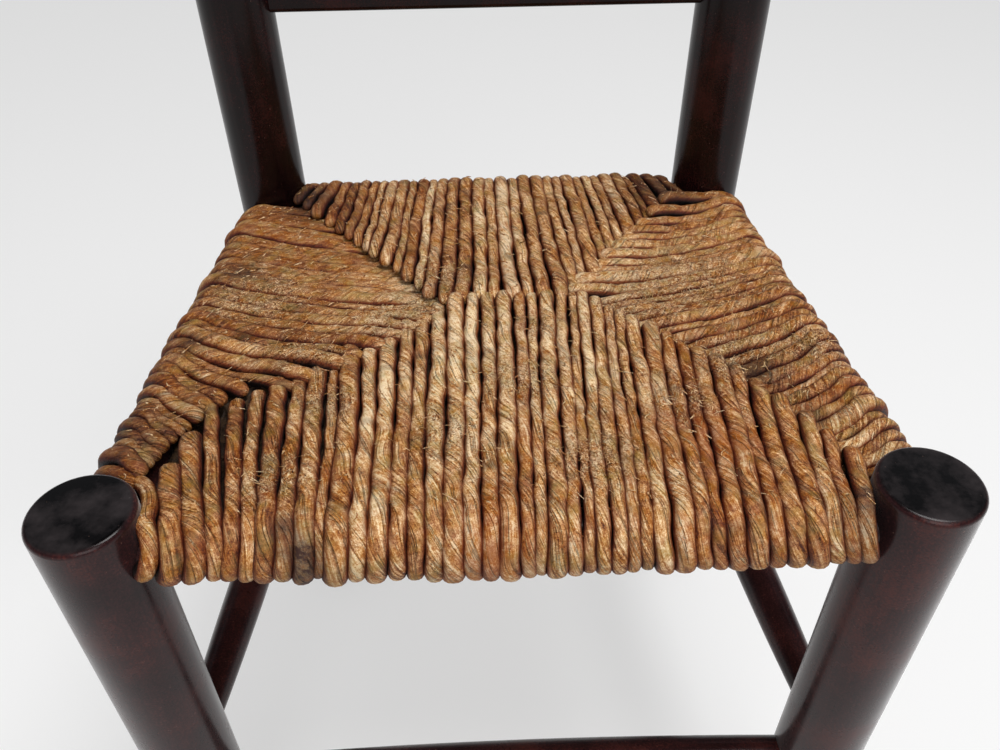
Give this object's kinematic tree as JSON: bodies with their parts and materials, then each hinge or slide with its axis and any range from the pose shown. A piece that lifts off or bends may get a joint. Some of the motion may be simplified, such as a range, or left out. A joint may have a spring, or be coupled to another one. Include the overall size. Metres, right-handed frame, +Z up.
{
  "type": "dining chair",
  "caption": "Post-and-rung dining chair with round turned posts, a ladder back of flat slats and a seat wound from twisted rush cord.",
  "frame": {"origin": "on the floor, under the middle of the chair's overall width and depth", "axes": "+Z up, +Y towards the back of the chair, +X to the right of someone who faces the chair from the front"},
  "size_m": [0.44, 0.3934, 0.8506],
  "materials": {
    "stained_wood": "dark mahogany stain under a satin varnish",
    "rush_cord": "twisted dry rush, matt with a waxy sheen along the leaves",
    "rush_stuffing": "loose dry rush, matt"
  },
  "bodies": {
    "root": {"front_leg_left": "stained_wood", "front_leg_right": "stained_wood", "rear_post_left": "stained_wood", "rear_post_right": "stained_wood", "front_seat_rail": "stained_wood", "rear_seat_rail": "stained_wood", "side_seat_rail_left": "stained_wood", "side_seat_rail_right": "stained_wood", "front_rung": "stained_wood", "rear_rung": "stained_wood", "side_rung_left": "stained_wood", "side_rung_right": "stained_wood", "lower_back_slat": "stained_wood", "middle_back_slat": "stained_wood", "top_back_slat": "stained_wood", "rush_front": "rush_cord", "rush_rear": "rush_cord", "rush_left": "rush_cord", "rush_right": "rush_cord", "stuffing_front": "rush_stuffing", "stuffing_rear": "rush_stuffing", "stuffing_left": "rush_stuffing", "stuffing_right": "rush_stuffing"}
  },
  "joints": []
}
